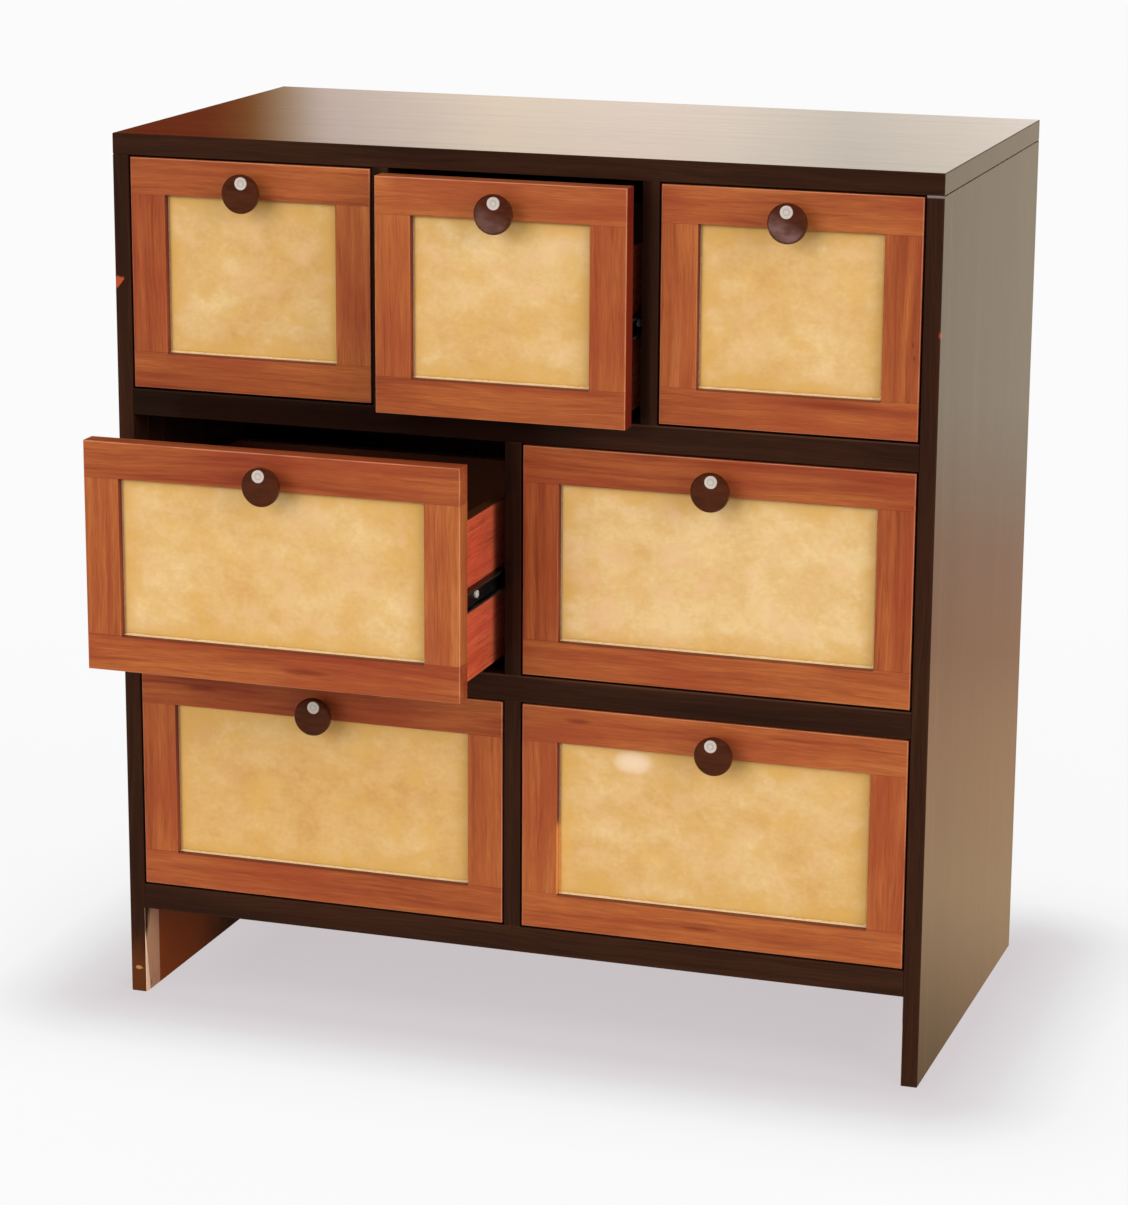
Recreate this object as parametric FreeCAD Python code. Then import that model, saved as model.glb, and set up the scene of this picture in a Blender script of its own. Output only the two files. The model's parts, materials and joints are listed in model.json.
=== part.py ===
import FreeCAD, Part
import math
import os

# Chest of small drawers for sewing thread.  Millimetres; +X is right seen from the
# front, +Y runs to the back, +Z is up.  The origin is on the floor, under the middle
# of the chest as it is stored, with two of its drawers standing open.

os.makedirs("parts", exist_ok=True)
Vec = FreeCAD.Vector

# ---- Carcase
case_width = 600.0
case_depth = 315.0
case_height = 641.0
foot_height = 66.0
top_thickness = 15.0
side_thickness = 12.0
shelf_thickness = 19.0
divider_thickness = 12.0
back_thickness = 4.0
lipping_depth = 24.0
edge_ease = 0.8

# ---- Rows of drawers from the top down, each with its places from left to right
rows = (
    ("upper", ("left", "middle", "right")),
    ("middle", ("left", "right")),
    ("lower", ("left", "right")),
)
# How far a drawer stands open as the chest is stored; the others are shut
middle_left_opening = 88.0
upper_middle_opening = 30.0

# ---- Drawer fronts: a frame of rails and stiles round a papered panel
front_gap = 1.5
rail_width = 26.0
stile_width = 26.0
panel_recess = 5.5
panel_thickness = 9.0
panel_seat = 3.0
panel_clearance = 0.5
front_ease = 0.8

# ---- Drawer boxes
box_rise = 6.5
box_headroom = 46.0
box_rear_space = 69.0
board_thickness = 9.0
bottom_thickness = 3.0
bottom_rise = 5.0
bottom_tongue = 4.0
groove_clearance = 0.1

# ---- Slides: a steel channel on the case, and a smaller one on the drawer inside it
slide_gap = 10.0
slide_height = 17.0
slide_rise = 60.0
slide_setback = 2.0
slide_tail = 11.0
slide_overlap = 64.0
steel_thickness = 1.2
race_gap = 0.4
lip_clearance = 2.0
head_clearance = 1.0
stop_length = 3.0
stop_width = 2.0
stop_rise = 1.6
stop_clearance = 0.4

# ---- Knobs, turned, with a pale disc let into the face
knob_drop = 20.0
knob_projection = 19.0
knob_base_radius = 7.5
knob_base_band = 1.2
knob_neck_radius = 6.0
knob_neck_reach = 4.5
knob_head_radius = 13.75
knob_head_band = 1.6
knob_face_inset = 1.2
knob_face_dome = 1.4
knob_rim_drop = 2.0
knob_flare_inset = 1.4
knob_flare_drop = 3.0
knob_neck_bow = 0.3
knob_flare_bow = 1.8
knob_rim_bow = 0.35
inlay_radius = 4.4
inlay_margin = 0.1
inlay_depth = 2.0
inlay_proud = 0.3
inlay_rim = 0.9
inlay_dish = 0.35
inlay_clearance = 0.05

# ---- Screws
knob_screw_radius = 2.0
knob_screw_grip = 10.0
knob_screw_head_radius = 4.0
knob_screw_head_height = 2.4
slide_screw_radius = 1.5
slide_screw_grip = 5.0
slide_screw_head_radius = 2.9
slide_screw_head_height = 1.8
slide_screw_inset = 35.0
front_screw_radius = 1.5
front_screw_grip = 9.0
front_screw_head_radius = 3.0
front_screw_head_height = 1.8
front_screw_inset = 30.0
front_screw_lift = 1.2
head_crown = 0.8
recess_width = 0.9
recess_depth = 1.0
hole_clearance = 0.15
bore_spare = 0.5

# ---- Worked out from the sizes above
rest_opening = {"middle_left": middle_left_opening, "upper_middle": upper_middle_opening}
# Each knob was set out by eye: how far it stands to the right of its drawer's middle
knob_shift = {"upper_middle": 1.0, "upper_right": 1.5, "middle_left": 0.5,
              "lower_left": 1.0, "lower_right": 5.5}
# and it stopped at its own angle, in degrees from upright, when it was screwed tight
inlay_angle = {"upper_left": 12.0, "upper_middle": 8.0, "middle_left": -4.0, "middle_right": 10.0,
               "lower_left": 13.0, "lower_right": -9.0}
frame_thickness = panel_recess + panel_thickness + panel_clearance
open_reach = max(rest_opening.values()) + knob_projection
front_y = (open_reach - case_depth) / 2
rear_y = front_y + case_depth
inner_rear_y = rear_y - back_thickness
left_x = -case_width / 2
right_x = case_width / 2
top_under = case_height - top_thickness
inner_width = case_width - 2 * side_thickness
row_count = len(rows)
opening_height = (top_under - foot_height) / row_count - shelf_thickness
row_pitch = opening_height + shelf_thickness
front_height = opening_height - 2 * front_gap
box_height = opening_height - box_rise - box_headroom
box_length = case_depth - back_thickness - frame_thickness - box_rear_space
slide_length = box_length - slide_setback - slide_tail
member_height = slide_height - 2 * steel_thickness - 2 * race_gap
member_depth = slide_gap - steel_thickness - slide_screw_head_height - head_clearance
channel_depth = slide_gap - lip_clearance
stop_low = slide_screw_head_radius + stop_clearance
bore_radius = slide_screw_radius + hole_clearance
# How far a cutter runs past the face that it opens, and how close counts as touching
overrun = 1.0
touch = 0.0001


# ---- Shared shapes

def block(corner, opposite):
    """Rectangular solid between two opposite corners, given in any order."""
    low = Vec(*map(min, corner, opposite))
    size = Vec(*map(max, corner, opposite)) - low
    return Part.makeBox(size.x, size.y, size.z, low)


def rod(start, direction, radius, length):
    """Round solid from start along direction."""
    return Part.makeCylinder(radius, length, start, direction)


def lies_at(edge, axis, place):
    """Whether the whole edge lies in the plane across axis at place."""
    low = getattr(edge.BoundBox, axis + "Min")
    high = getattr(edge.BoundBox, axis + "Max")
    return abs(low - place) < touch and abs(high - place) < touch


def runs_along(edge, axis):
    """Whether the edge has a length along axis."""
    return getattr(edge.BoundBox, axis + "Length") > touch


def eased(solid, radius, wanted):
    """The solid with a small round on each edge that wanted accepts."""
    return solid.makeFillet(radius, [edge for edge in solid.Edges if wanted(edge)])


def export(name, solids):
    """Write one node, which holds a single solid or a group of separate ones."""
    shape = solids[0] if len(solids) == 1 else Part.makeCompound(solids)
    shape.exportStep("parts/" + name + ".step")
    print(name, len(solids), round(shape.Volume, 1))


# ---- Layout

def row_floor(row):
    """Height of the surface under a row of drawers, rows counted from the top."""
    return foot_height + shelf_thickness + (row_count - 1 - row) * row_pitch


def bay_span(row, place):
    """Left and right faces of one opening."""
    count = len(rows[row][1])
    width = (inner_width - (count - 1) * divider_thickness) / count
    low = left_x + side_thickness + place * (width + divider_thickness)
    return low, low + width


def slide_height_at(floor):
    """Height of a slide's middle above the floor, for the drawer over this surface."""
    return floor + box_rise + slide_rise


# ---- Screws, made pointing along -X with the seat of the head at the origin

def cross_recess(top, length):
    """The cross that a driver fits, cut down from the head's top."""
    half = recess_width / 2
    upright = block((top - recess_depth, -half, -length), (top + overrun, half, length))
    level = block((top - recess_depth, -length, -half), (top + overrun, length, half))
    return upright.fuse(level)


def pan_screw(radius, grip, head_radius, head_height):
    """Screw with a low round head that stands on the surface."""
    ahead = Vec(1, 0, 0)
    head = rod(Vec(0, 0, 0), ahead, head_radius, head_height)
    head = eased(head, min(head_crown, head_height / 2), lambda edge: lies_at(edge, "X", head_height))
    head = head.cut(cross_recess(head_height, head_radius / 2))
    return head.fuse(rod(Vec(-grip, 0, 0), ahead, radius, grip))


def sunk_screw(radius, grip, head_radius, head_height):
    """Screw with a conical head, flush with the surface."""
    ahead = Vec(1, 0, 0)
    head = Part.makeCone(radius, head_radius, head_height, Vec(-head_height, 0, 0), ahead)
    head = head.cut(cross_recess(0, head_radius / 2))
    return head.fuse(rod(Vec(-grip, 0, 0), ahead, radius, grip - head_height))


def placed(screw, seat, outward):
    """A copy of a screw with its head's seat at a point, and the head facing outward."""
    copy = screw.copy()
    copy.Placement = FreeCAD.Placement(seat, FreeCAD.Rotation(Vec(1, 0, 0), outward))
    return copy


slide_screw = pan_screw(slide_screw_radius, slide_screw_grip + steel_thickness,
                        slide_screw_head_radius, slide_screw_head_height)
knob_screw = pan_screw(knob_screw_radius, frame_thickness + knob_screw_grip,
                       knob_screw_head_radius, knob_screw_head_height)
front_screw = sunk_screw(front_screw_radius, board_thickness + front_screw_grip,
                         front_screw_head_radius, front_screw_head_height)


# ---- Slides

def channel(web_x, toward, depth, height, low_y, length, middle_z):
    """Steel channel along Y with its web at web_x and its lips pointing toward -1 or +1."""
    half = height / 2
    far_y = low_y + length
    hollow_x = web_x + toward * steel_thickness
    hollow_half = half - steel_thickness
    steel = block((web_x, low_y, middle_z - half), (web_x + toward * depth, far_y, middle_z + half))
    steel = steel.cut(block((hollow_x, low_y - overrun, middle_z - hollow_half),
                            (web_x + toward * (depth + overrun), far_y + overrun, middle_z + hollow_half)))
    for seat in slide_seats(web_x, low_y, middle_z):
        outside = seat - Vec(toward * overrun, 0, 0)
        steel = steel.cut(rod(outside, Vec(toward, 0, 0), bore_radius, steel_thickness + 2 * overrun))
    return steel


def slide_stop(web_x, tip_x, low_y, middle_z):
    """A tang on a channel's web, above the screw heads."""
    low_z = middle_z + stop_low
    return block((web_x, low_y, low_z), (tip_x, low_y + stop_length, low_z + stop_width))


def case_channel(face_x, toward, middle_z):
    """The channel on the case, with one tang that stops the drawer shut and one that stops it open."""
    low_y = case_slide_low_y()
    length = slide_length + race_gap + stop_length
    steel = channel(face_x, toward, channel_depth, slide_height, low_y, length, middle_z)
    web_x = face_x + toward * steel_thickness
    shut_y = low_y + slide_length + race_gap
    open_y = low_y + slide_overlap - race_gap - 2 * stop_length
    for stop_y in (shut_y, open_y):
        steel = steel.fuse(slide_stop(web_x, web_x + toward * stop_rise, stop_y, middle_z))
    return steel.removeSplitter()


def drawer_channel(face_x, toward, low_y, middle_z):
    """The channel on a drawer, with a tang at its rear end that runs between the case's two."""
    steel = channel(face_x, toward, member_depth, member_height, low_y, slide_length, middle_z)
    web_x = face_x + toward * steel_thickness
    tip_x = face_x + toward * (slide_gap - steel_thickness - stop_clearance)
    return steel.fuse(slide_stop(web_x, tip_x, low_y + slide_length - stop_length, middle_z)).removeSplitter()


def slide_seats(web_x, low_y, middle_z):
    """Where the two screws of a channel pass through the plane at web_x."""
    near = low_y + slide_screw_inset
    far = low_y + slide_length - slide_screw_inset
    return [Vec(web_x, y, middle_z) for y in (near, far)]


def slide_screws(web_x, toward, low_y, middle_z):
    """The two screws that hold a channel, their heads inside it."""
    inner_face = web_x + toward * steel_thickness
    return [placed(slide_screw, seat, Vec(toward, 0, 0)) for seat in slide_seats(inner_face, low_y, middle_z)]


def pilot_holes(face_x, toward, low_y, middle_z):
    """The bores for those screws in the wood behind face_x."""
    inward = Vec(-toward, 0, 0)
    depth = slide_screw_grip + bore_spare
    return [rod(seat, inward, bore_radius, depth) for seat in slide_seats(face_x, low_y, middle_z)]


def case_slide_places():
    """Each channel on the case: the face it stands on, where it points, its height."""
    for row in range(row_count):
        for place in range(len(rows[row][1])):
            low, high = bay_span(row, place)
            middle_z = slide_height_at(row_floor(row))
            yield low, 1, middle_z
            yield high, -1, middle_z


def case_slide_low_y():
    """Front end of every channel on the case."""
    return front_y + frame_thickness + slide_setback


# ---- Carcase

def bored(board):
    """A board of the carcase with the bores of the slides that are screwed to it."""
    for face_x, toward, middle_z in case_slide_places():
        for hole in pilot_holes(face_x, toward, case_slide_low_y(), middle_z):
            if board.BoundBox.isInside(hole.BoundBox.Center):
                board = board.cut(hole)
    return board


def top_board():
    board = block((left_x, front_y, top_under), (right_x, rear_y, case_height))
    return eased(board, edge_ease, lambda edge: True)


def side_pieces(low_x, outer_x):
    """One side as its broad panel and the solid strip along its front edge."""
    board = block((low_x, front_y, 0), (low_x + side_thickness, rear_y, top_under))
    board = eased(board, edge_ease, lambda edge: lies_at(edge, "X", outer_x) or lies_at(edge, "Y", front_y))
    strip_zone = block((low_x, front_y, 0), (low_x + side_thickness, front_y + lipping_depth, top_under))
    board = bored(board)
    return board.cut(strip_zone), board.common(strip_zone)


def shelf(row):
    """The board under a row of drawers."""
    top_z = row_floor(row)
    board = block((left_x + side_thickness, front_y, top_z - shelf_thickness),
                  (right_x - side_thickness, inner_rear_y, top_z))
    return eased(board, edge_ease, lambda edge: lies_at(edge, "Y", front_y) and runs_along(edge, "X"))


def dividers():
    """The upright boards between the openings of each row."""
    boards = []
    for row in range(row_count):
        floor = row_floor(row)
        for place in range(len(rows[row][1]) - 1):
            low_x = bay_span(row, place)[1]
            board = block((low_x, front_y, floor),
                          (low_x + divider_thickness, inner_rear_y, floor + opening_height))
            board = eased(board, edge_ease,
                          lambda edge: lies_at(edge, "Y", front_y) and runs_along(edge, "Z"))
            boards.append(bored(board))
    return boards


def back_panel():
    return block((left_x + side_thickness, inner_rear_y, foot_height),
                 (right_x - side_thickness, rear_y, top_under))


# ---- Drawer fronts

class Front:
    """Corners and centre lines of one drawer front, standing open by opening."""

    def __init__(self, low_x, high_x, floor, opening, shift):
        self.left = low_x + front_gap
        self.right = high_x - front_gap
        self.low = floor + front_gap
        self.high = self.low + front_height
        self.face = front_y - opening
        self.back = self.face + frame_thickness
        self.middle = (low_x + high_x) / 2
        self.knob_x = self.middle + shift
        self.knob_z = self.high - knob_drop
        bottom_high = floor + box_rise + bottom_rise + bottom_thickness
        self.screw_z = bottom_high + front_screw_head_radius + front_screw_lift

    def screw_seats(self):
        """Where the screws from inside the box enter its front board."""
        seat_y = self.back + board_thickness
        reach = (self.right - self.left) / 2 - stile_width - front_screw_inset
        return [Vec(self.middle + side * reach, seat_y, self.screw_z) for side in (-1, 1)]


def knob_hole(front):
    """The hole drilled right through a front for its knob's screw."""
    return rod(Vec(front.knob_x, front.face - overrun, front.knob_z), Vec(0, 1, 0),
               knob_screw_radius + hole_clearance, frame_thickness + 2 * overrun)


def front_frame(front):
    """Two rails over the full width and two stiles between them, rebated for the panel."""
    plate = block((front.left, front.face, front.low), (front.right, front.back, front.high))
    plate = eased(plate, front_ease, lambda edge: lies_at(edge, "Y", front.face))
    sight_left = front.left + stile_width
    sight_right = front.right - stile_width
    sight_low = front.low + rail_width
    sight_high = front.high - rail_width
    plate = plate.cut(block((sight_left, front.face - overrun, sight_low),
                            (sight_right, front.back + overrun, sight_high)))

    def round_sight(edge):
        box = edge.BoundBox
        inside = box.XMin > sight_left - touch and box.XMax < sight_right + touch
        inside = inside and box.ZMin > sight_low - touch and box.ZMax < sight_high + touch
        return inside and lies_at(edge, "Y", front.face)

    plate = eased(plate, front_ease, round_sight)
    plate = plate.cut(block((sight_left - panel_seat, front.face + panel_recess, sight_low - panel_seat),
                            (sight_right + panel_seat, front.back + overrun, sight_high + panel_seat)))
    plate = plate.cut(knob_hole(front))
    for seat in front.screw_seats():
        entry = Vec(seat.x, front.back, seat.z)
        plate = plate.cut(rod(entry, Vec(0, -1, 0), front_screw_radius + hole_clearance,
                              front_screw_grip + bore_spare))
    return [
        plate.common(block((front.left, front.face, sight_high), (front.right, front.back, front.high))),
        plate.common(block((front.left, front.face, front.low), (front.right, front.back, sight_low))),
        plate.common(block((front.left, front.face, sight_low), (sight_left, front.back, sight_high))),
        plate.common(block((sight_right, front.face, sight_low), (front.right, front.back, sight_high))),
    ]


def front_panel(front):
    """The papered board that lies in the frame's rebate."""
    reach_x = stile_width - panel_seat + panel_clearance
    reach_z = rail_width - panel_seat + panel_clearance
    low_y = front.face + panel_recess
    panel = block((front.left + reach_x, low_y, front.low + reach_z),
                  (front.right - reach_x, low_y + panel_thickness, front.high - reach_z))
    return panel.cut(knob_hole(front))


# ---- Drawer boxes

def drawer_box(front, low_x, high_x, floor):
    """Two sides, a front board, a back board and the bottom let into all four."""
    left = low_x + slide_gap
    right = high_x - slide_gap
    low = floor + box_rise
    high = low + box_height
    near = front.back
    far = near + box_length
    inner_left = left + board_thickness
    inner_right = right - board_thickness
    bottom_low = low + bottom_rise
    tongue = bottom_tongue - groove_clearance
    bottom = block((inner_left - tongue, near + board_thickness - tongue, bottom_low),
                   (inner_right + tongue, far - board_thickness + tongue, bottom_low + bottom_thickness))
    groove_low = bottom_low - groove_clearance
    groove_high = bottom_low + bottom_thickness + groove_clearance
    groove = block((inner_left - bottom_tongue, near + board_thickness - bottom_tongue, groove_low),
                   (inner_right + bottom_tongue, far - board_thickness + bottom_tongue, groove_high))
    middle_z = slide_height_at(floor)
    slide_low_y = near + slide_setback
    pieces = []
    for low_side, face_x, toward in ((left, left, -1), (inner_right, right, 1)):
        side = block((low_side, near, low), (low_side + board_thickness, far, high))
        side = eased(side, edge_ease, lambda edge: lies_at(edge, "Z", high) and runs_along(edge, "Y"))
        side = side.cut(groove)
        for hole in pilot_holes(face_x, toward, slide_low_y, middle_z):
            side = side.cut(hole)
        pieces.append(side)
    front_board = block((inner_left, near, low), (inner_right, near + board_thickness, high)).cut(groove)
    for seat in front.screw_seats():
        shank_hole = rod(seat + Vec(0, overrun, 0), Vec(0, -1, 0), front_screw_radius + hole_clearance,
                         board_thickness + 2 * overrun)
        sink = Part.makeCone(front_screw_radius + hole_clearance, front_screw_head_radius + hole_clearance,
                             front_screw_head_height, seat - Vec(0, front_screw_head_height, 0), Vec(0, 1, 0))
        front_board = front_board.cut(shank_hole).cut(sink)
    pieces.append(front_board)
    pieces.append(block((inner_left, far - board_thickness, low), (inner_right, far, high)).cut(groove))
    pieces.append(bottom)
    return pieces


def drawer_slides(front, low_x, high_x, floor):
    """The two steel members on the drawer's sides."""
    low_y = front.back + slide_setback
    middle_z = slide_height_at(floor)
    return [drawer_channel(low_x + slide_gap, -1, low_y, middle_z),
            drawer_channel(high_x - slide_gap, 1, low_y, middle_z)]


def drawer_screws(front, low_x, high_x, floor):
    """The knob's screw, two into the frame's lower rail, and two in each slide member."""
    screws = [placed(knob_screw, Vec(front.knob_x, front.back, front.knob_z), Vec(0, 1, 0))]
    screws += [placed(front_screw, seat, Vec(0, 1, 0)) for seat in front.screw_seats()]
    low_y = front.back + slide_setback
    middle_z = slide_height_at(floor)
    screws += slide_screws(low_x + slide_gap, -1, low_y, middle_z)
    screws += slide_screws(high_x - slide_gap, 1, low_y, middle_z)
    return screws


# ---- Knobs.  A point (radius, reach) is a distance from the axis and one from the frame.

face_radius = knob_head_radius - knob_face_inset
face_reach = knob_projection - knob_face_dome
head_high = face_reach - knob_rim_drop
head_low = head_high - knob_head_band
flare_radius = knob_head_radius - knob_flare_inset
flare_reach = head_low - knob_flare_drop
inlay_offset = face_radius - inlay_radius - inlay_margin


def cap_radius(half_width, rise):
    """Radius of the sphere whose cap has this half width and rise."""
    return (half_width ** 2 + rise ** 2) / (2 * rise)


def dome_reach(radius):
    """How far the knob's domed face stands from the frame at this distance from its axis."""
    sphere = cap_radius(face_radius, knob_face_dome)
    return knob_projection - sphere + math.sqrt(sphere ** 2 - radius ** 2)


def bowed(start, end, bow):
    """Arc between two points of the profile, bowed by a distance to the right of its way."""
    chord = end - start
    right = Vec(chord.y, -chord.x, 0).normalize()
    return Part.Arc(start, (start + end) / 2 + right * bow, end).toShape()


def turned_knob():
    """The knob without its pocket, standing forward from the origin along -Y."""
    def at(radius, reach):
        return Vec(radius, -reach, 0)

    foot = at(0, 0)
    base_edge = at(knob_base_radius, 0)
    base_top = at(knob_base_radius, knob_base_band)
    neck = at(knob_neck_radius, knob_neck_reach)
    flare = at(flare_radius, flare_reach)
    head_back = at(knob_head_radius, head_low)
    head_front = at(knob_head_radius, head_high)
    face_edge = at(face_radius, face_reach)
    crown = at(0, knob_projection)
    halfway = face_radius / 2
    profile = Part.Wire([
        Part.LineSegment(foot, base_edge).toShape(),
        Part.LineSegment(base_edge, base_top).toShape(),
        bowed(base_top, neck, knob_neck_bow),
        bowed(neck, flare, knob_flare_bow),
        bowed(flare, head_back, -knob_rim_bow),
        Part.LineSegment(head_back, head_front).toShape(),
        bowed(head_front, face_edge, -knob_rim_bow),
        Part.Arc(face_edge, at(halfway, dome_reach(halfway)), crown).toShape(),
        Part.LineSegment(crown, foot).toShape(),
    ])
    knob = Part.Face(profile).revolve(Vec(0, 0, 0), Vec(0, 1, 0), 360)
    bore = rod(Vec(0, 0, 0), Vec(0, -1, 0), knob_screw_radius + hole_clearance, knob_screw_grip + bore_spare)
    return knob.cut(bore)


def knob_and_inlay(front, angle):
    """The knob with its pocket, and the dished disc that fills it, turned by angle."""
    surface = dome_reach(inlay_offset)
    turn = math.radians(angle)
    forward = Vec(0, -1, 0)
    seat = Vec(inlay_offset * math.sin(turn), inlay_depth - surface, inlay_offset * math.cos(turn))
    knob = turned_knob().cut(rod(seat, forward, inlay_radius + inlay_clearance, inlay_depth + knob_face_dome))
    disc_height = inlay_depth + inlay_proud
    ball_radius = cap_radius(inlay_radius - inlay_rim, inlay_dish)
    ball = Part.makeSphere(ball_radius, seat + forward * (disc_height - inlay_dish + ball_radius))
    disc = rod(seat, forward, inlay_radius, disc_height).cut(ball)
    place = Vec(front.knob_x, front.face, front.knob_z)
    return knob.translated(place), disc.translated(place)


# ---- Build

def build_case():
    export("top_board", [top_board()])
    left_panel, left_strip = side_pieces(left_x, left_x)
    right_panel, right_strip = side_pieces(right_x - side_thickness, right_x)
    export("left_side", [left_panel])
    export("right_side", [right_panel])
    export("side_lippings", [left_strip, right_strip])
    for row, name in enumerate(("upper_shelf", "lower_shelf", "bottom_board")):
        export(name, [shelf(row)])
    export("dividers", dividers())
    export("back_panel", [back_panel()])
    places = list(case_slide_places())
    export("slide_channels", [case_channel(*where) for where in places])
    screws = []
    for face_x, toward, middle_z in places:
        screws += slide_screws(face_x, toward, case_slide_low_y(), middle_z)
    export("slide_screws", screws)


def build_drawer(name, row, place):
    low_x, high_x = bay_span(row, place)
    floor = row_floor(row)
    front = Front(low_x, high_x, floor, rest_opening.get(name, 0), knob_shift.get(name, 0))
    knob, inlay = knob_and_inlay(front, inlay_angle.get(name, 0))
    export(name + "_frame", front_frame(front))
    export(name + "_panel", [front_panel(front)])
    export(name + "_box", drawer_box(front, low_x, high_x, floor))
    export(name + "_slides", drawer_slides(front, low_x, high_x, floor))
    export(name + "_screws", drawer_screws(front, low_x, high_x, floor))
    export(name + "_knob", [knob])
    export(name + "_inlay", [inlay])


build_case()
for row, (row_name, places) in enumerate(rows):
    for place, place_name in enumerate(places):
        build_drawer(row_name + "_" + place_name, row, place)
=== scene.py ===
import json
import math

import bpy
import numpy as np
from mathutils import Matrix, Vector

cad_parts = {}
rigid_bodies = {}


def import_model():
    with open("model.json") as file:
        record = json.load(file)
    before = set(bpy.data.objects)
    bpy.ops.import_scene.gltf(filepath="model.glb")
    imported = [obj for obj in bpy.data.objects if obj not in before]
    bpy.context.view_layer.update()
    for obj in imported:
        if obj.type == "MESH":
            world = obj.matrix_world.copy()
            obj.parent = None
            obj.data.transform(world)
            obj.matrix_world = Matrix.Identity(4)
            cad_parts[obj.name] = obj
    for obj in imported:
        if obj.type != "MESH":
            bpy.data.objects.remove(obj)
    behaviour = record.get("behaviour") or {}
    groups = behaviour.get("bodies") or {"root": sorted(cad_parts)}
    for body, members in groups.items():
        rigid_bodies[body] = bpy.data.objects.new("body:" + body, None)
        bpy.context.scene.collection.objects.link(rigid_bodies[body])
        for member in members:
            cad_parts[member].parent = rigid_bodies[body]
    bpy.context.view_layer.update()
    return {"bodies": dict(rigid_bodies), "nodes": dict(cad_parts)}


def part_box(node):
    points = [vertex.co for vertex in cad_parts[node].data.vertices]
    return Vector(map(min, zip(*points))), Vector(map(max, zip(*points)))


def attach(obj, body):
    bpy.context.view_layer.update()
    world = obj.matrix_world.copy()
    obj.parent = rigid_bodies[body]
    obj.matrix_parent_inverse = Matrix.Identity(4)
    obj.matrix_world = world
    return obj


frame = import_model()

scene = bpy.context.scene
scene.view_settings.view_transform = "Standard"
drawers = [body for body in frame["bodies"] if body != "carcase"]
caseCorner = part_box("side_lippings")[0]  # front left foot, on the floor
print("frame loaded,", len(drawers), "drawers")


# Small helpers for building materials out of nodes.  A band is a pair of values: a mask is 0 at the first
# and 1 at the second, whichever is larger.  A skin is how far behind a face a point still counts as on it.
# Lengths are in metres, and the places of marks count from the front left foot.

def tone(red, green, blue):  # a colour as it shows on screen, 0 to 255, turned linear
    shown = np.array([red, green, blue]) / 255
    linear = np.where(shown <= 0.04045, shown / 12.92, ((shown + 0.055) / 1.055) ** 2.4)
    return (*linear.tolist(), 1.0)


def newMaterial(name):
    material = bpy.data.materials.new(name)
    material.use_nodes = True
    material.node_tree.nodes.clear()
    return material, material.node_tree


def paint(node, material):
    frame["nodes"][node].data.materials[0] = material


def addNode(tree, kind, inputs=None, **settings):
    made = tree.nodes.new("ShaderNode" + kind)
    for name, value in settings.items():
        setattr(made, name, value)
    for socket, value in (inputs or {}).items():
        if isinstance(value, bpy.types.NodeSocket):
            tree.links.new(value, made.inputs[socket])
        else:
            made.inputs[socket].default_value = value
    return made


def calc(tree, operation, first, second=0.0, clamp=False):
    made = addNode(tree, "Math", {0: first, 1: second}, operation=operation, use_clamp=clamp)
    return made.outputs[0]


def fold(tree, operation, values):
    total = values[0]
    for value in values[1:]:
        total = calc(tree, operation, total, value)
    return total


def plus(tree, *values):
    return fold(tree, "ADD", values)


def times(tree, *values):
    return fold(tree, "MULTIPLY", values)


def minus(tree, first, second):
    return calc(tree, "SUBTRACT", first, second)


def weighted(tree, *parts):  # the sum of each value times its share
    return plus(tree, *[times(tree, value, share) for value, share in parts])


def inverse(tree, mask):
    return minus(tree, 1.0, mask)


def above(tree, value, limit):  # 1 over the limit, otherwise 0
    return calc(tree, "GREATER_THAN", value, limit)


def under(tree, value, limit):
    return calc(tree, "LESS_THAN", value, limit)


def offset(tree, value, middle):  # distance from a middle plane, without its sign
    return calc(tree, "ABSOLUTE", minus(tree, value, middle))


def uneven(tree, distance, noise, reach):  # the distance, pushed half the reach each way by the noise
    return plus(tree, distance, times(tree, minus(tree, noise, 0.5), reach))


def remap(tree, value, low, high, toLow=0.0, toHigh=1.0):  # smooth step from toLow to toHigh
    made = addNode(tree, "MapRange", {0: value, 1: low, 2: high, 3: toLow, 4: toHigh},
                   interpolation_type="SMOOTHSTEP")
    return made.outputs[0]


def mixColour(tree, amount, below, over, blend="MIX"):
    made = addNode(tree, "Mix", {0: amount, 6: below, 7: over}, data_type="RGBA", blend_type=blend)
    return made.outputs[2]


def tinted(tree, colour, value, band, amount, over):  # lays a colour over where the value passes the band
    return mixColour(tree, remap(tree, value, *band, 0.0, amount), colour, over)


def mixVector(tree, amount, first, second):
    made = addNode(tree, "Mix", {0: amount, 4: first, 5: second}, data_type="VECTOR")
    return made.outputs[1]


def vectorCalc(tree, operation, first, second=(0.0, 0.0, 0.0)):
    made = addNode(tree, "VectorMath", {0: first, 1: second}, operation=operation)
    return made.outputs["Value" if operation in ("LENGTH", "DOT_PRODUCT") else "Vector"]


def scaled(tree, vector, lengths):  # the vector counted in these lengths
    return vectorCalc(tree, "MULTIPLY", vector, [1 / length for length in lengths])


def cloud(tree, vector, size, detail=3.0, roughness=0.5, distortion=0.0):
    inputs = {"Vector": scaled(tree, vector, size), "Scale": 1.0, "Detail": detail,
              "Roughness": roughness, "Distortion": distortion}
    return addNode(tree, "TexNoise", inputs).outputs[0]


def ramp(tree, value, stops):
    made = addNode(tree, "ValToRGB", {0: value})
    elements = made.color_ramp.elements
    while len(elements) < len(stops):
        elements.new(0.5)
    for element, (position, colour) in zip(elements, stops):
        element.position = position
        element.color = colour
    return made.outputs[0]


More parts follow.
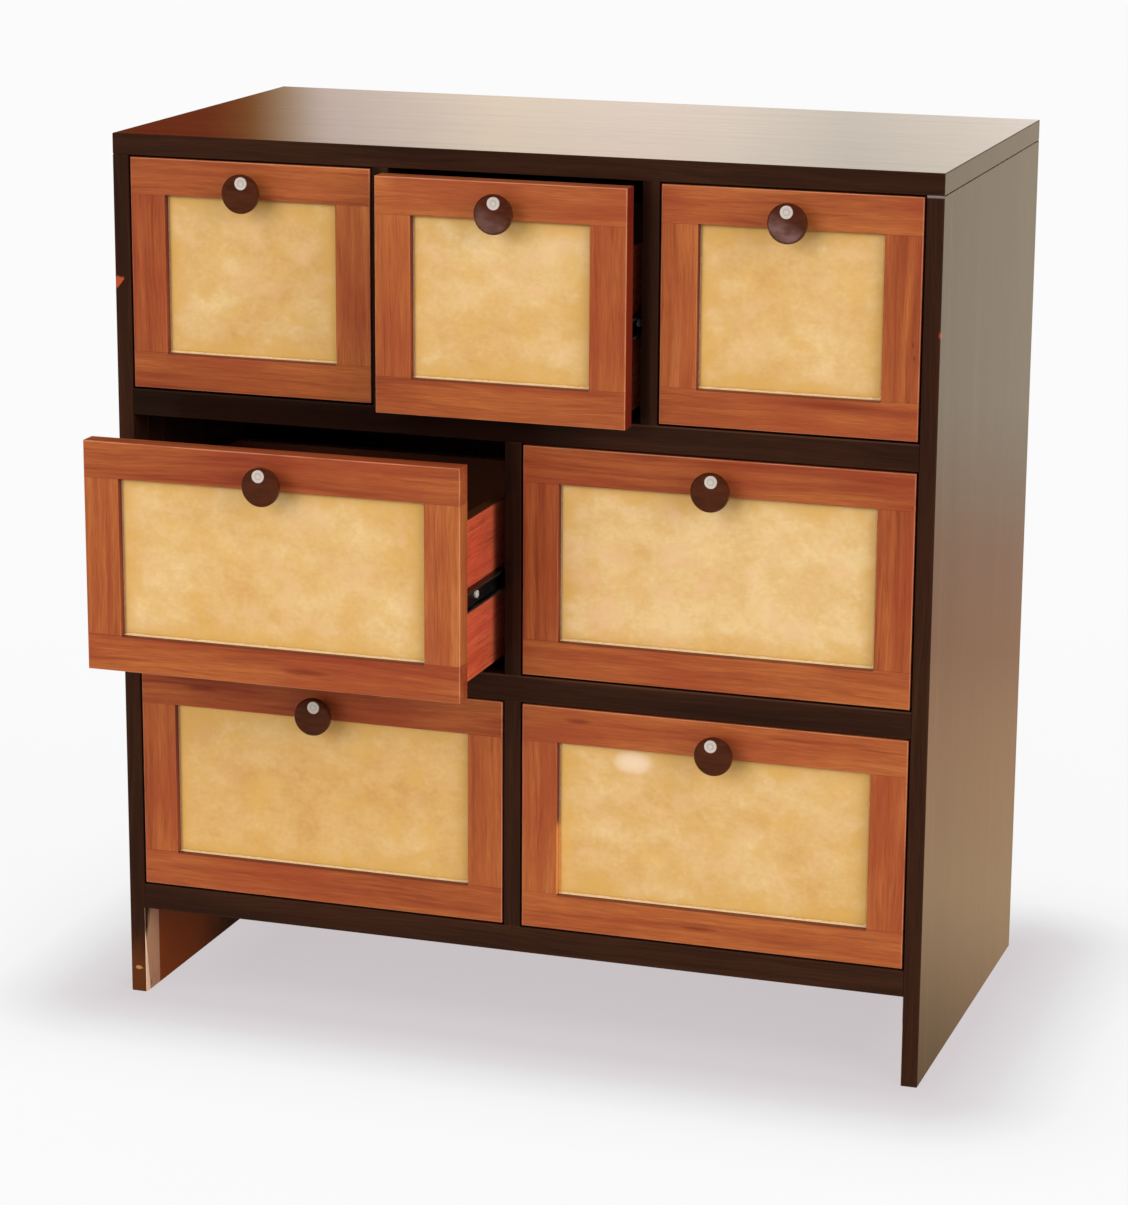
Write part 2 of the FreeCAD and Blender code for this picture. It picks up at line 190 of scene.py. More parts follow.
def rowOver(tree, value, start, end, row):  # a row of places and colours, laid out from start to end
    part = calc(tree, "DIVIDE", minus(tree, value, start), end - start)
    return ramp(tree, part, [((at - start) / (end - start), (*colour, 1.0)) for at, colour in row])


def objectPlace(tree):  # the point on the piece
    return addNode(tree, "TexCoord").outputs["Object"]


def axesOf(tree, vector):  # its x, y and z
    return tuple(addNode(tree, "SeparateXYZ", {0: vector}).outputs)


def spotDistance(tree, axes, spot):  # squared distance from an oval spot's middle, 1 on its outline
    across = calc(tree, "DIVIDE", minus(tree, axes[0], caseCorner.x + spot["place"][0]), spot["size"][0])
    up = calc(tree, "DIVIDE", minus(tree, axes[2], spot["place"][1]), spot["size"][1])
    return plus(tree, times(tree, across, across), times(tree, up, up))


# the way from a turned piece's middle, as seen from the front, and its length
def aroundMiddle(tree, place, middle):
    away = vectorCalc(tree, "SUBTRACT", place, middle)
    flat = vectorCalc(tree, "MULTIPLY", away, (1.0, 0.0, 1.0))
    return flat, vectorCalc(tree, "LENGTH", flat)


arrisBand = (0.995, 0.88)  # cosines between the rounded and the plain normal


def edgeAmount(tree, radius):  # 1 on an arris, falling to 0 at about this distance from it
    rounded = addNode(tree, "Bevel", {"Radius": radius}, samples=6).outputs[0]
    straight = addNode(tree, "NewGeometry").outputs["Normal"]
    return remap(tree, vectorCalc(tree, "DOT_PRODUCT", rounded, straight), *arrisBand)


def wornArris(tree, colour, look):
    rubbed = times(tree, edgeAmount(tree, look["wearWidth"]), look["wear"])
    return mixColour(tree, rubbed, colour, look["wearColour"])


def shade(tree, look, colour, roughness, height):
    bump = addNode(tree, "Bump", {"Strength": 1.0, "Distance": look["bump"], "Height": height})
    surface = addNode(tree, "BsdfPrincipled",
                      {"Base Color": colour, "Roughness": roughness, "Normal": bump.outputs[0],
                       "Specular IOR Level": look["specular"], "Metallic": look.get("metal", 0.0),
                       "Coat Weight": look.get("coat", 0.0),
                       "Coat Roughness": look.get("coatRoughness", 0.1)})
    addNode(tree, "OutputMaterial", {"Surface": surface.outputs[0]})


# Grain coordinates: the first runs along the grain, the other two across it.  A board's seed counts the
# steps by which it is moved on through the clouds, so that no two boards look alike.
grainOrder = {"x": (0, 2, 1), "y": (1, 0, 2), "z": (2, 0, 1)}
seedStep = (0.71, 0.213, 0.137)
firstSeed = {"box": 3, "front": 11, "knob": 40, "paper": 70}


def grainVector(tree, axes, along, seed):
    picked = [axes[i] for i in grainOrder[along]]
    vector = addNode(tree, "CombineXYZ", dict(enumerate(picked))).outputs[0]
    return vectorCalc(tree, "ADD", vector, [step * seed for step in seedStep])


# Stained wood.  Broad figure and narrow streaks pick the colour, dark veins and fibres lie in it, and the
# stain has rubbed thin on the arrises; on the carcase and the fronts that pale arris colour is partly a
# painted highlight too.  These values are the same for all of it.
wood = {
    "wander": (0.16, 0.05, 0.05),
    "blotch": (0.11, 0.045, 0.045),
    "rub": (0.03, 0.012, 0.012),
    "figureShare": 0.62,
    "blotchBand": (0.42, 0.68),
    "veinBand": (0.54, 0.72),
    "fibreBand": (0.62, 0.36),
    "rubBand": (0.3, 0.62),
    "leastRub": 0.4,
    "fibreShare": 0.6,
    "roughBand": (0.75, 1.25),
}


# each patch is a mask and a colour laid over; the shift moves a whole board along its row of colours
def woodSurface(tree, grain, look, arris, patches=(), shift=0.0):
    wander = times(tree, cloud(tree, grain, wood["wander"], detail=2.0), look["sway"])
    sway = addNode(tree, "CombineXYZ", {1: wander}).outputs[0]
    swayed = vectorCalc(tree, "ADD", grain, sway)
    figure = cloud(tree, swayed, look["figure"], roughness=0.55, distortion=0.4)
    streak = cloud(tree, swayed, look["streak"], roughness=0.6)
    vein = cloud(tree, swayed, look["vein"], detail=4.0, roughness=0.6, distortion=0.3)
    fibre = cloud(tree, swayed, look["fibre"], detail=2.0, roughness=0.6)
    blotch = cloud(tree, grain, wood["blotch"], detail=2.0)
    rub = cloud(tree, grain, wood["rub"])
    share = weighted(tree, (figure, wood["figureShare"]), (streak, 1 - wood["figureShare"]))
    colour = ramp(tree, plus(tree, share, shift), look["colours"])
    colour = tinted(tree, colour, blotch, wood["blotchBand"], look["blotchAmount"], look["blotch"])
    colour = tinted(tree, colour, vein, wood["veinBand"], look["veinAmount"], look["fibreColour"])
    colour = tinted(tree, colour, fibre, wood["fibreBand"], look["fibreAmount"], look["fibreColour"])
    rubbed = remap(tree, rub, *wood["rubBand"], look["wear"] * wood["leastRub"], look["wear"])
    colour = mixColour(tree, times(tree, arris, rubbed), colour, look["wearColour"])
    for mask, over in patches:
        colour = mixColour(tree, mask, colour, over)
    height = weighted(tree, (fibre, wood["fibreShare"]), (streak, 1 - wood["fibreShare"]))
    roughness = remap(tree, plus(tree, fibre, streak), *wood["roughBand"], *look["roughness"])
    shade(tree, look, colour, roughness, height)


# Carcase: dark espresso stain under lacquer
caseLook = {
    "colours": [(0.34, tone(36, 19, 13)), (0.5, tone(50, 28, 19)), (0.66, tone(64, 37, 25))],
    "figure": (0.42, 0.03, 0.03),
    "streak": (0.2, 0.0048, 0.0048),
    "vein": (0.3, 0.006, 0.006),
    "veinAmount": 0.4,
    "fibre": (0.03, 0.0008, 0.0008),
    "sway": 0.02,
    "blotch": tone(58, 30, 20),
    "blotchAmount": 0.35,
    "fibreColour": tone(26, 14, 10),
    "fibreAmount": 0.35,
    # the pale arris colour is partly rubbed stain and partly a painted highlight
    "wear": 0.8,
    "wearWidth": 0.0011,
    "wearColour": tone(126, 90, 70),
    "dividerWear": 0.25,
    "calmLipping": (0.0005, 0.0015),
    "calmShelfEnd": (0.0015, 0.0025),
    # painted shade on the upper shelf and painted shadow on the dividers
    "paintedShade": tone(10, 5, 5),
    "shadedShelf": 0.7,
    "shadedShelfEnd": (0.075, 0.02),
    "shadedDividers": 0.6,
    "dividerPitch": 0.098,
    "dividerBand": (0.003, -0.003),
    "roughness": (0.16, 0.12),
    "bump": 0.000007,
    "specular": 0.12,
}
caseGrain = {"top_board": "x", "left_side": "z", "right_side": "z", "side_lippings": "z", "upper_shelf": "x",
             "lower_shelf": "x", "bottom_board": "x", "back_panel": "x", "dividers": "z"}
# pale grain streaks on the upper side of the top board, partly a painted reflection that stands in for
# streaks in its sheen
topSheenStreaks = {"colour": tone(196, 146, 98), "amount": 0.06, "size": (0.22, 0.007, 0.007),
              "band": (0.45, 0.72), "skin": 0.0003}
# painted highlights: the faint line along the top front arris of a shelf, and the light one at the top of the
# right lipping,
# where it meets the top board: a band of the distance below the top
highlightLines = {
    "shelf": {"colour": tone(112, 74, 58), "band": (0.0016, 0.0004), "amount": 0.25},
    "lipping": {"colour": tone(132, 116, 118), "band": (0.0022, 0.001), "amount": 0.9},
    "skin": 0.0008,
    "lippingWidth": 0.0119,
}
# knocks in the stain on the front edges: place, half sizes, colour, and for the first the direction in
# which a slanted cut leaves it standing
chips = [
    {"place": (0.0034, 0.0, 0.5345), "size": (0.0052, 0.006, 0.005), "colour": tone(176, 76, 42),
     "cut": (-0.8, 0.0, 0.6)},
    {"place": (0.006, 0.0, 0.0188), "size": (0.003, 0.004, 0.0016), "colour": tone(176, 122, 84)},
    {"place": (0.6, 0.0, 0.533), "size": (0.0012, 0.004, 0.0024), "colour": tone(150, 52, 40)},
]
chipRim = {"rag": 1 / 420, "ragged": 0.9, "band": (1.55, 1.15), "cutBand": (-0.25, -0.15)}
# Low on the inner faces of the feet the wood is lighter and warmer near the front, fading out towards the
# back.  On the lippings a light strip there is partly bare wood and partly a painted reflection of the floor,
# with a painted highlight on its arris that tapers upwards, and low on the left one's front the wood is
# warmer towards the floor.
feet = {
    "height": 0.066,
    "boardThickness": 0.012,
    "skin": 0.0004,
    "smudge": (0.008, 0.008, 0.022),
    "streak": (0.0016, 0.0016, 0.012),
    "warmInner": tone(122, 56, 26),
    "warmInnerBand": (0.19, 0.1),
    "warmInnerSmudge": 0.05,
    "bareAndSheenStrip": tone(178, 130, 102),
    "bareAndSheenBand": (0.01, 0.018),
    "bareAndSheenSlant": 0.35,
    "bareAndSheenSmudge": 0.01,
    "stripStreak": tone(130, 84, 64),
    "stripHeight": (0.026, 0.004),
    "stripBand": (0.5, 0.62),
    "stripAmount": 0.8,
    "litArris": tone(236, 196, 168),
    "arrisWidth": 0.007,
    "arrisHeight": 0.048,
    "arrisBand": (0.0006, -0.0006),
    "warmFront": tone(98, 50, 24),
    "warmBand": (0.066, 0.034),
    "warmSmudge": 0.03,
    "warmAmount": 0.8,
}
sideFace = -caseCorner.x - feet["boardThickness"]  # how far the sides' inner faces are from the middle


def chipPatches(tree, place):  # a patch inside each knock, with a ragged rim
    rag = times(tree, cloud(tree, place, [chipRim["rag"]] * 3), chipRim["ragged"])
    patches = []
    for chip in chips:
        centre = [a + b for a, b in zip(caseCorner, chip["place"])]
        counted = scaled(tree, vectorCalc(tree, "SUBTRACT", place, centre), chip["size"])
        inside = remap(tree, plus(tree, vectorCalc(tree, "LENGTH", counted), rag), *chipRim["band"])
        if "cut" in chip:
            standing = vectorCalc(tree, "DOT_PRODUCT", counted, chip["cut"])
            inside = times(tree, inside, remap(tree, standing, *chipRim["cutBand"]))
        patches.append((inside, chip["colour"]))
    return patches


def footPatches(tree, place, axes, lipping):
    inner = under(tree, offset(tree, axes[0], 0.0), sideFace + feet["skin"])
    low = under(tree, axes[2], feet["height"])
    depth = minus(tree, axes[1], caseCorner.y)
    smudge = cloud(tree, place, feet["smudge"], detail=4.0, roughness=0.6)
    if not lipping:
        fade = plus(tree, depth, times(tree, smudge, feet["warmInnerSmudge"]))
        return [(times(tree, inner, low, remap(tree, fade, *feet["warmInnerBand"])), feet["warmInner"])]
    # a light strip, partly bare wood and partly a painted reflection of the floor
    belowTop = times(tree, minus(tree, feet["height"], axes[2]), feet["bareAndSheenSlant"])
    fromCorner = plus(tree, belowTop, depth, times(tree, smudge, feet["bareAndSheenSmudge"]))
    bareAndSheen = remap(tree, fromCorner, *feet["bareAndSheenBand"])
    streaks = cloud(tree, place, feet["streak"], roughness=0.6)
    streaked = remap(tree, streaks, *feet["stripBand"], 0.0, feet["stripAmount"])
    lowest = remap(tree, axes[2], *feet["stripHeight"])
    # a painted highlight on the lipping's inner arris, tapering upwards
    taper = calc(tree, "SUBTRACT", 1.0, calc(tree, "DIVIDE", axes[2], feet["arrisHeight"]), clamp=True)
    onLitArris = remap(tree, minus(tree, depth, times(tree, taper, feet["arrisWidth"])), *feet["arrisBand"])
    rise = plus(tree, axes[2], times(tree, smudge, feet["warmSmudge"]))
    warm = remap(tree, rise, *feet["warmBand"], 0.0, feet["warmAmount"])
    onLeft = under(tree, axes[0], 0.0)
    return [(times(tree, inner, low, bareAndSheen), feet["bareAndSheenStrip"]),
            (times(tree, inner, lowest, streaked), feet["stripStreak"]),
            (times(tree, inner, low, onLitArris), feet["litArris"]),
            (times(tree, inverse(tree, inner), onLeft, warm), feet["warmFront"])]


# a painted highlight line along a shelf's top arris or the right lipping's top
def highlightLinePatch(tree, axes, node):
    low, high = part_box(node)
    lipping = node == "side_lippings"
    line = highlightLines["lipping" if lipping else "shelf"]
    mask = times(tree, under(tree, axes[1], low.y + highlightLines["skin"]),
                 remap(tree, minus(tree, high.z, axes[2]), *line["band"], 0.0, line["amount"]))
    if lipping:
        mask = times(tree, above(tree, axes[0], high.x - highlightLines["lippingWidth"]), mask)
    return mask, line["colour"]


# grain streaks on the top face, partly a painted reflection of its sheen
def topSheenPatch(tree, place, axes):
    streaks = cloud(tree, place, topSheenStreaks["size"], roughness=0.6, distortion=0.2)
    onTop = above(tree, axes[2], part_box("top_board")[1].z - topSheenStreaks["skin"])
    amount = remap(tree, streaks, *topSheenStreaks["band"], 0.0, topSheenStreaks["amount"])
    return times(tree, onTop, amount), topSheenStreaks["colour"]


def shadedDividers(tree, axes):  # painted shadow: above the lower shelf their left halves are darker
    pitch = caseLook["dividerPitch"]
    nearest = times(tree, calc(tree, "ROUND", calc(tree, "DIVIDE", axes[0], pitch)), pitch)
    leftHalf = remap(tree, minus(tree, axes[0], nearest), *caseLook["dividerBand"])
    high = above(tree, axes[2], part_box("lower_shelf")[1].z)
    return times(tree, leftHalf, high, caseLook["shadedDividers"]), caseLook["paintedShade"]


def shadedShelf(tree, axes):  # painted shade: the left part of the upper shelf is darker
    return remap(tree, axes[0], *caseLook["shadedShelfEnd"], 0.0, caseLook["shadedShelf"]), caseLook["paintedShade"]


def casePatches(tree, place, axes, node):
    patches = []
    if "side" in node:
        patches += footPatches(tree, place, axes, node == "side_lippings")
    if node == "side_lippings":
        patches += chipPatches(tree, place)
    if node in ("side_lippings", "upper_shelf", "lower_shelf"):
        patches.append(highlightLinePatch(tree, axes, node))
    if node == "top_board":
        patches.append(topSheenPatch(tree, place, axes))
    if node == "dividers":
        patches.append(shadedDividers(tree, axes))
    if node == "upper_shelf":
        patches.append(shadedShelf(tree, axes))
    return patches


# little wear on the dividers, and none where boards meet: inside the lippings and at the shelves' ends
def caseArris(tree, axes, node):
    arris = edgeAmount(tree, caseLook["wearWidth"])
    fromMiddle = offset(tree, axes[0], 0.0)
    if node == "side_lippings":
        calm = [sideFace + distance for distance in caseLook["calmLipping"]]
        return times(tree, arris, remap(tree, fromMiddle, *calm))
    if node == "dividers":
        return times(tree, arris, caseLook["dividerWear"])
    if node.endswith(("shelf", "bottom_board")):
        calm = [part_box(node)[1].x - distance for distance in caseLook["calmShelfEnd"]]
        return times(tree, arris, remap(tree, fromMiddle, *calm))
    return arris


def dressCase():
    for seed, (node, along) in enumerate(caseGrain.items()):
        material, tree = newMaterial("espressoWood_" + node)
        place = objectPlace(tree)
        axes = axesOf(tree, place)
        woodSurface(tree, grainVector(tree, axes, along, seed), caseLook, caseArris(tree, axes, node),
                    casePatches(tree, place, axes, node))
        paint(node, material)


# Drawer fronts: red-brown stain; the grain runs along each rail and each stile
frontLook = {
    "colours": [(0.3, tone(132, 55, 30)), (0.46, tone(165, 86, 45)), (0.6, tone(181, 102, 52)),
                (0.74, tone(197, 122, 68))],
    "figure": (0.2, 0.013, 0.013),
    "streak": (0.12, 0.003, 0.003),
    "vein": (0.1, 0.0042, 0.0042),
    "veinAmount": 0.5,
    "fibre": (0.016, 0.0006, 0.0006),
    "sway": 0.012,
    "blotch": tone(152, 62, 38),
    "blotchAmount": 0.55,
    "fibreColour": tone(116, 46, 24),
    "fibreAmount": 0.3,
    # the pale arris colour is partly rubbed stain and partly a painted highlight
    "wear": 0.5,
    "innerWear": 0.25,
    "wearColour": tone(222, 150, 118),
    "joint": tone(88, 36, 20),
    "lineAmount": 0.7,
    "fleck": tone(112, 40, 24),
    "fleckAmount": 0.7,
    "ledge": tone(255, 232, 196),
    "ledgeFront": tone(100, 42, 22),
    # painted shade on the inner side of the left stile
    "revealShade": tone(112, 36, 26),
    "revealShadeAmounts": (0.5, 0.85),
    # a painted reflection of the gold paper
    "goldReflection": tone(240, 156, 66),
    "goldReflectionOf": "lower_right",
    "shadedEnd": tone(110, 22, 14),
    "shadedEndOf": "upper_middle",
    "markAmount": 0.85,
    "roughness": (0.41, 0.29),
    "bump": 0.00008,
    "specular": 0.25,
}
# the bands are the wear's distance from an arris and its depth, the depth at which the upper side of the
# lower rail turns pale, the dark line below it, and the depth of the painted shade on the right end
frontSizes = {
    "rail": 0.026,
    "stile": 0.026,
    "skin": 0.0001,
    "jointWidth": 0.00025,
    "arris": (0.0009, 0.00027),
    "arrisDepth": (0.00108, 0.00054),
    "lipDepth": (0.0034, 0.004),
    "lipEnd": 0.0003,
    "underLip": (0.0014, 0.0008),
    "revealShadeFade": 0.3,
    "goldReflectionFade": 0.008,
    "shadedEndDepth": (0.0008, 0.0016),
    "shadedEndSkin": 0.0002,
}
# how far each board lies towards tan, or below 0 towards red: upper rail, lower rail, left stile, right stile
boardShift = {
    "upper_left": (0.02, -0.02, -0.07, 0.07),
    "upper_middle": (0.06, -0.03, 0.08, 0.03),
    "upper_right": (0.05, 0.0, 0.075, -0.04),
    "middle_left": (-0.06, -0.06, 0.0, 0.1),
    # its left stile is redder partly as a painted reflection of red light from the open drawer's box beside
    # it
    "middle_right": (-0.08, 0.03, -0.1, -0.065),
    "lower_left": (-0.06, -0.05, 0.0, 0.0),
    "lower_right": (0.05, 0.06, 0.07, 0.08),
}
# dark flecks in the fronts: place and half sizes, across and up
flecks = {
    "upper_right": [{"place": (0.5818, 0.5256), "size": (0.0009, 0.0028)},
                    {"place": (0.5826, 0.5165), "size": (0.0008, 0.0026)}],
    "middle_left": [{"place": (0.1784, 0.285), "size": (0.02, 0.0028)}],
    "lower_left": [{"place": (0.06, 0.24), "size": (0.017, 0.0026)}],
    "lower_right": [{"place": (0.349, 0.2424), "size": (0.011, 0.0022)},
                    {"place": (0.44, 0.099), "size": (0.016, 0.0016)}],
}
fleckRim = {"streak": (0.006, 0.006, 0.0016), "band": (1.7, 0.4)}


def fleckPatches(tree, place, axes, drawer):  # soft on the rim, streaked by the grain
    streaked = cloud(tree, place, fleckRim["streak"], roughness=0.6)
    patches = []
    for fleck in flecks.get(drawer, []):
        far = plus(tree, spotDistance(tree, axes, fleck), streaked)
        inside = remap(tree, far, *fleckRim["band"], 0.0, frontLook["fleckAmount"])
        patches.append((inside, frontLook["fleck"]))
    return patches


# Where a point of a front lies: how far it is past the inner edge of the stiles and of the rails, how deep
# it is behind the face, and masks of its boards, its halves and the inner side of its left stile
def frontZones(tree, axes, low, high):
    middle = (low + high) / 2
    half = (high - low) / 2
    intoStile = minus(tree, offset(tree, axes[0], middle.x), half.x - frontSizes["stile"])
    intoRail = minus(tree, offset(tree, axes[2], middle.z), half.z - frontSizes["rail"])
    betweenRails = under(tree, intoRail, 0.0)
    right = above(tree, axes[0], middle.x)
    onStileEdge = under(tree, offset(tree, intoStile, 0.0), frontSizes["skin"])
    return {
        "middle": middle,
        "half": half,
        "intoStile": intoStile,
        "intoRail": intoRail,
        "depth": minus(tree, axes[1], low.y),
        "stiles": times(tree, above(tree, intoStile, 0.0), betweenRails),
        "right": right,
        "upper": above(tree, axes[2], middle.z),
        "lower": under(tree, axes[2], middle.z),
        "innerLeft": times(tree, onStileEdge, betweenRails, inverse(tree, right)),
    }


def frontGrain(tree, axes, zones, seed):
    lowerRail, upperRail = (grainVector(tree, axes, "x", seed + step) for step in (0, 1))
    leftStile, rightStile = (grainVector(tree, axes, "z", seed + step) for step in (2, 3))
    rail = mixVector(tree, zones["upper"], lowerRail, upperRail)
    stile = mixVector(tree, zones["right"], leftStile, rightStile)
    return mixVector(tree, zones["stiles"], rail, stile)


def frontShift(tree, zones, drawer):
    onUpper, onLower, onLeft, onRight = boardShift[drawer]
    ofRail = remap(tree, zones["upper"], 0.0, 1.0, onLower, onUpper)
    ofStile = remap(tree, zones["right"], 0.0, 1.0, onLeft, onRight)
    return weighted(tree, (ofStile, zones["stiles"]), (ofRail, inverse(tree, zones["stiles"])))


def frontArris(tree, zones):  # full on the outer arrises, less on the inner ones, and only near the face; the pale colour is partly rubbed stain and partly a painted highlight
    inner = calc(tree, "MAXIMUM", zones["intoStile"], zones["intoRail"])
    outer = minus(tree, frontSizes["rail"], inner)
    arris = calc(tree, "MAXIMUM", remap(tree, outer, *frontSizes["arris"]),
                 remap(tree, inner, *frontSizes["arris"], 0.0, frontLook["innerWear"]))
    return times(tree, arris, remap(tree, zones["depth"], *frontSizes["arrisDepth"]))


# The lines between the boards; the inner side of the left stile, with painted shade that is darker towards
# its upper end; and the upper side of the lower rail, pale at the back behind a dark line at the front
def frontEdges(tree, axes, zones):
    intoStile, intoRail = zones["intoStile"], zones["intoRail"]
    skin, lineAmount = frontSizes["skin"], frontLook["lineAmount"]
    onRailEdge = offset(tree, intoRail, 0.0)
    joint = times(tree, above(tree, intoStile, 0.0),
                  remap(tree, onRailEdge, frontSizes["jointWidth"], 0.0, 0.0, lineAmount))
    middle, fade = zones["middle"].z, zones["half"].z * frontSizes["revealShadeFade"]
    revealShade = times(tree, zones["innerLeft"],
                   remap(tree, axes[2], middle - fade, middle + fade, *frontLook["revealShadeAmounts"]))
    underLip = times(tree, remap(tree, intoRail, *frontSizes["underLip"]), above(tree, intoRail, -skin),
                     zones["lower"], under(tree, intoStile, 0.0), lineAmount)
    ledge = times(tree, under(tree, onRailEdge, skin), zones["lower"],
                  under(tree, intoStile, -frontSizes["lipEnd"]))
    lip = times(tree, ledge, remap(tree, zones["depth"], *frontSizes["lipDepth"]))
    return [(joint, frontLook["joint"]), (revealShade, frontLook["revealShade"]), (underLip, frontLook["joint"]),
            (ledge, frontLook["ledgeFront"]), (lip, frontLook["ledge"])]


# marks of single fronts: a painted reflection of the gold paper low on that inner side, and a painted shade
# on the right end
def frontMarks(tree, axes, zones, drawer):
    middle, half, amount = zones["middle"], zones["half"], frontLook["markAmount"]
    if drawer == frontLook["goldReflectionOf"]:
        lowerHalf = remap(tree, axes[2], middle.z, middle.z - frontSizes["goldReflectionFade"])
        return [(times(tree, zones["innerLeft"], lowerHalf, amount), frontLook["goldReflection"])]
    # a painted shade on the right end of this front
    if drawer == frontLook["shadedEndOf"]:
        onEnd = above(tree, axes[0], middle.x + half.x - frontSizes["shadedEndSkin"])
        behind = remap(tree, zones["depth"], *frontSizes["shadedEndDepth"])
        return [(times(tree, onEnd, behind, amount), frontLook["shadedEnd"])]
    return []


def dressFronts():
    for number, drawer in enumerate(drawers):
        low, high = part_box(drawer + "_frame")
        material, tree = newMaterial("redWood_" + drawer)
        place = objectPlace(tree)
        axes = axesOf(tree, place)
        zones = frontZones(tree, axes, low, high)
        patches = (frontEdges(tree, axes, zones) + frontMarks(tree, axes, zones, drawer)
                   + fleckPatches(tree, place, axes, drawer))
        grain = frontGrain(tree, axes, zones, firstSeed["front"] + 4 * number)
        woodSurface(tree, grain, frontLook, frontArris(tree, zones), patches,
                    frontShift(tree, zones, drawer))
        paint(drawer + "_frame", material)


# Drawer boxes: the same red stain outside; inside and on their top edges they are plain dark brown, a painted
# shade
boxLook = {
    **frontLook,
    "colours": [(0.32, tone(192, 76, 48)), (0.5, tone(224, 102, 68)), (0.68, tone(238, 124, 80))],
    "figure": (0.16, 0.016, 0.016),
    "streak": (0.07, 0.0026, 0.0026),
    "blotch": tone(228, 92, 74),
    "wear": 0.35,
    "wearWidth": 0.001,
    # painted shade inside the boxes and on their top edges
    "inside": tone(92, 48, 30),
    "board": 0.009,
    "topSkin": 0.0006,
    "roughness": (0.49, 0.37),
}


def boxShadedInside(tree, axes, low, high):  # painted shade: from half the thickness of the walls inwards, and the top edges
    middle = (low + high) / 2
    half = (high - low) / 2
    wall = boxLook["board"] / 2
    within = times(tree, under(tree, offset(tree, axes[0], middle.x), half.x - wall),
                   under(tree, offset(tree, axes[1], middle.y), half.y - wall))
    return calc(tree, "MAXIMUM", within, above(tree, axes[2], high.z - boxLook["topSkin"]))


def dressBoxes():
    for number, drawer in enumerate(drawers):
        low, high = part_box(drawer + "_box")
        material, tree = newMaterial("redWood_box_" + drawer)
        axes = axesOf(tree, objectPlace(tree))
        normalY = axesOf(tree, addNode(tree, "NewGeometry").outputs["True Normal"])[1]
        across = above(tree, offset(tree, normalY, 0.0), 0.5)  # the front and back boards of the box
        seed = firstSeed["box"] + number
        grain = mixVector(tree, across, grainVector(tree, axes, "y", seed),
                          grainVector(tree, axes, "x", seed + 2))
        woodSurface(tree, grain, boxLook, edgeAmount(tree, boxLook["wearWidth"]),
                    [(boxShadedInside(tree, axes, low, high), boxLook["inside"])])
        paint(drawer + "_box", material)


# Gold paper on the panels: clouds of three sizes pick the colour.  It is more golden near its edges, and
# its cut edge shows cream.  Paleness moves a sheet towards cream and pink, or below 0 towards gold.
paperLook = {
    "colours": [(0.34, tone(209, 159, 91)), (0.46, tone(217, 173, 107)), (0.56, tone(223, 184, 123)),
                (0.68, tone(231, 199, 144))],
    "broad": (0.05, 0.05, 0.038),
    "patch": (0.018, 0.018, 0.014),
    "speck": (0.004, 0.004, 0.0034),
    "shares": (0.42, 0.34, 0.24),
    "fibre": (0.005, 0.0006, 0.0006),
    "fibreColour": tone(200, 154, 92),
    "fibreAmount": 0.12,
    "fibreBand": (0.58, 0.34),
    "tint": (0.026, 0.05, 0.022),
    "pink": tone(230, 188, 140),
    "pinkBand": (0.5, 0.66),
    "pinkAmount": 0.35,
    "golden": tone(218, 171, 88),
    "goldenBand": (0.48, 0.33),
    "goldenAmount": 0.45,
    "paleness": {"upper_left": 0.0, "upper_middle": 0.35, "upper_right": 0.0, "middle_left": 0.2,
                 "middle_right": 0.9, "lower_left": -0.5, "lower_right": 0.05},
    "paleShift": 0.12,
    "palePink": 0.4,
    "paleGolden": -0.3,
    "goldenWidth": 0.016,
    "goldenWander": 0.03,
    "goldenEdge": 0.65,
    "cutEdge": tone(255, 238, 202),
    "cutWidth": (0.001, 0.0005),
    "cutWander": 0.0016,
    "glare": tone(252, 230, 206),
    "glareBand": (2.3, 0.3),
    "glareAmount": 0.7,
    "roughness": (0.46, 0.28),
    "roughBand": (0.35, 0.65),
    "bump": 0.0001,
    "patchBump": 0.7,
    "specular": 0.35, "coat": 0.25, "coatRoughness": 0.16,
}
# the sheet itself: its cockles are shallow waves, and the inset is the gap round it
paperSizes = {
    "thickness": 0.0003,
    "cockle": 0.00016,
    "cockleSwing": 0.5,
    "cockleLimit": 2,
    "waves": (0.052, 0.037, 0.026, 0.019, 0.015),
    "step": 0.0025,
    "inset": 0.0002,
    "calmEdge": 0.016,
    "calmPower": 0.7,
}
# a painted glare on a sheet, a reflection of light: place and half sizes, across and up
glarePlaces = {"lower_right": {"place": (0.3885, 0.215), "size": (0.0135, 0.008)}}


def sheetEdge(tree, colour, patch, speck):  # golden margin and cream cut edge, both uneven
    fromEdge, fromRim = (addNode(tree, "Attribute", attribute_name=name).outputs["Fac"]
                         for name in ("fromEdge", "fromRim"))
    near = uneven(tree, fromEdge, patch, paperLook["goldenWander"])
    colour = tinted(tree, colour, near, (paperLook["goldenWidth"], 0.0), paperLook["goldenEdge"],
                    paperLook["golden"])
    frayed = uneven(tree, fromRim, speck, paperLook["cutWander"])
    return tinted(tree, colour, frayed, paperLook["cutWidth"], 1.0, paperLook["cutEdge"])


